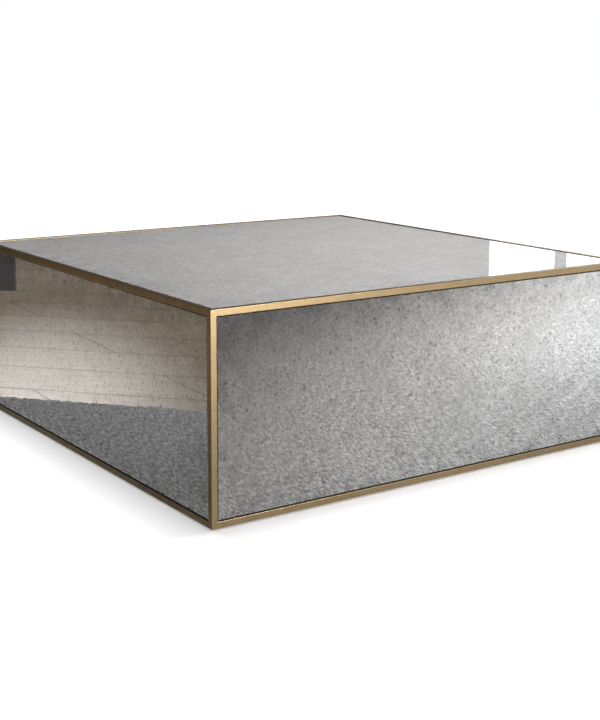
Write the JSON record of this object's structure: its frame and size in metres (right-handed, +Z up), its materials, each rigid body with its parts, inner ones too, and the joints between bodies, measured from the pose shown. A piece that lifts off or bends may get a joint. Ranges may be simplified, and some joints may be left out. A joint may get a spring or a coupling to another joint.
{
  "type": "mirrored coffee table",
  "caption": "Low square block coffee table clad in antiqued mirror, set inside a slim antique brass tube frame, on hidden screw feet.",
  "frame": {"origin": "on the floor, under the middle of the table", "axes": "+Z up; -Y is the front face and -X the left face, one side length each; the table is square, so the four sides are alike"},
  "size_m": [1.2, 1.2, 0.453],
  "materials": {
    "antique_brass": "satin, lightly patinated and brushed along each bar",
    "antiqued_mirror": "silvering clouded and foxed behind polished clear glass",
    "gasket_strip": "matte dark foam strip",
    "mirror_adhesive": "matte cured bead",
    "fibreboard": "raw medium density fibreboard",
    "softwood": "planed raw softwood",
    "zinc_steel": "bright zinc plate",
    "nylon": "moulded black nylon",
    "sole_rubber": "matte non-slip rubber"
  },
  "bodies": {
    "root": {"post_front_left": "antique_brass", "post_front_right": "antique_brass", "post_rear_left": "antique_brass", "post_rear_right": "antique_brass", "top_rail_front": "antique_brass", "bottom_rail_front": "antique_brass", "top_rail_rear": "antique_brass", "bottom_rail_rear": "antique_brass", "top_rail_left": "antique_brass", "bottom_rail_left": "antique_brass", "top_rail_right": "antique_brass", "bottom_rail_right": "antique_brass", "post_end_plates": "antique_brass", "frame_gussets": "zinc_steel", "mirror_top": "antiqued_mirror", "gasket_top": "gasket_strip", "adhesive_top": "mirror_adhesive", "mirror_front": "antiqued_mirror", "gasket_front": "gasket_strip", "adhesive_front": "mirror_adhesive", "mirror_rear": "antiqued_mirror", "gasket_rear": "gasket_strip", "adhesive_rear": "mirror_adhesive", "mirror_left": "antiqued_mirror", "gasket_left": "gasket_strip", "adhesive_left": "mirror_adhesive", "mirror_right": "antiqued_mirror", "gasket_right": "gasket_strip", "adhesive_right": "mirror_adhesive", "setting_blocks": "nylon", "top_board": "fibreboard", "base_board": "fibreboard", "front_board": "fibreboard", "rear_board": "fibreboard", "left_board": "fibreboard", "right_board": "fibreboard", "rib_front": "fibreboard", "rib_rear": "fibreboard", "rib_left": "fibreboard", "rib_right": "fibreboard", "corner_blocks": "softwood", "side_board_screws": "zinc_steel", "top_board_screws": "zinc_steel", "gusset_screws": "zinc_steel", "tee_nuts": "zinc_steel"},
    "pad_front_left": {"foot_pad_front_left": "nylon", "foot_sole_front_left": "sole_rubber"},
    "stem_front_left": {"foot_stem_front_left": "zinc_steel"},
    "pad_front_right": {"foot_pad_front_right": "nylon", "foot_sole_front_right": "sole_rubber"},
    "stem_front_right": {"foot_stem_front_right": "zinc_steel"},
    "pad_rear_left": {"foot_pad_rear_left": "nylon", "foot_sole_rear_left": "sole_rubber"},
    "stem_rear_left": {"foot_stem_rear_left": "zinc_steel"},
    "pad_rear_right": {"foot_pad_rear_right": "nylon", "foot_sole_rear_right": "sole_rubber"},
    "stem_rear_right": {"foot_stem_rear_right": "zinc_steel"}
  },
  "joints": [
    {"name": "foot_height_front_left", "type": "slide", "parent": "root", "child": "pad_front_left", "axis": [0, 0, -1], "range_m": [0, 0.012]},
    {"name": "foot_screw_front_left", "type": "hinge", "parent": "pad_front_left", "child": "stem_front_left", "pos_m": [-0.52, -0.52, 0.0065], "axis": [0, 0, -1], "range_deg": [0, 3456]},
    {"name": "foot_height_front_right", "type": "slide", "parent": "root", "child": "pad_front_right", "axis": [0, 0, -1], "range_m": [0, 0.012]},
    {"name": "foot_screw_front_right", "type": "hinge", "parent": "pad_front_right", "child": "stem_front_right", "pos_m": [0.52, -0.52, 0.0065], "axis": [0, 0, -1], "range_deg": [0, 3456]},
    {"name": "foot_height_rear_left", "type": "slide", "parent": "root", "child": "pad_rear_left", "axis": [0, 0, -1], "range_m": [0, 0.012]},
    {"name": "foot_screw_rear_left", "type": "hinge", "parent": "pad_rear_left", "child": "stem_rear_left", "pos_m": [-0.52, 0.52, 0.0065], "axis": [0, 0, -1], "range_deg": [0, 3456]},
    {"name": "foot_height_rear_right", "type": "slide", "parent": "root", "child": "pad_rear_right", "axis": [0, 0, -1], "range_m": [0, 0.012]},
    {"name": "foot_screw_rear_right", "type": "hinge", "parent": "pad_rear_right", "child": "stem_rear_right", "pos_m": [0.52, 0.52, 0.0065], "axis": [0, 0, -1], "range_deg": [0, 3456]}
  ],
  "couplings": [
    {"joint": "foot_height_front_left", "follows": "foot_screw_front_left", "m_per_rad": 0.00019894},
    {"joint": "foot_height_front_right", "follows": "foot_screw_front_right", "m_per_rad": 0.00019894},
    {"joint": "foot_height_rear_left", "follows": "foot_screw_rear_left", "m_per_rad": 0.00019894},
    {"joint": "foot_height_rear_right", "follows": "foot_screw_rear_right", "m_per_rad": 0.00019894}
  ]
}
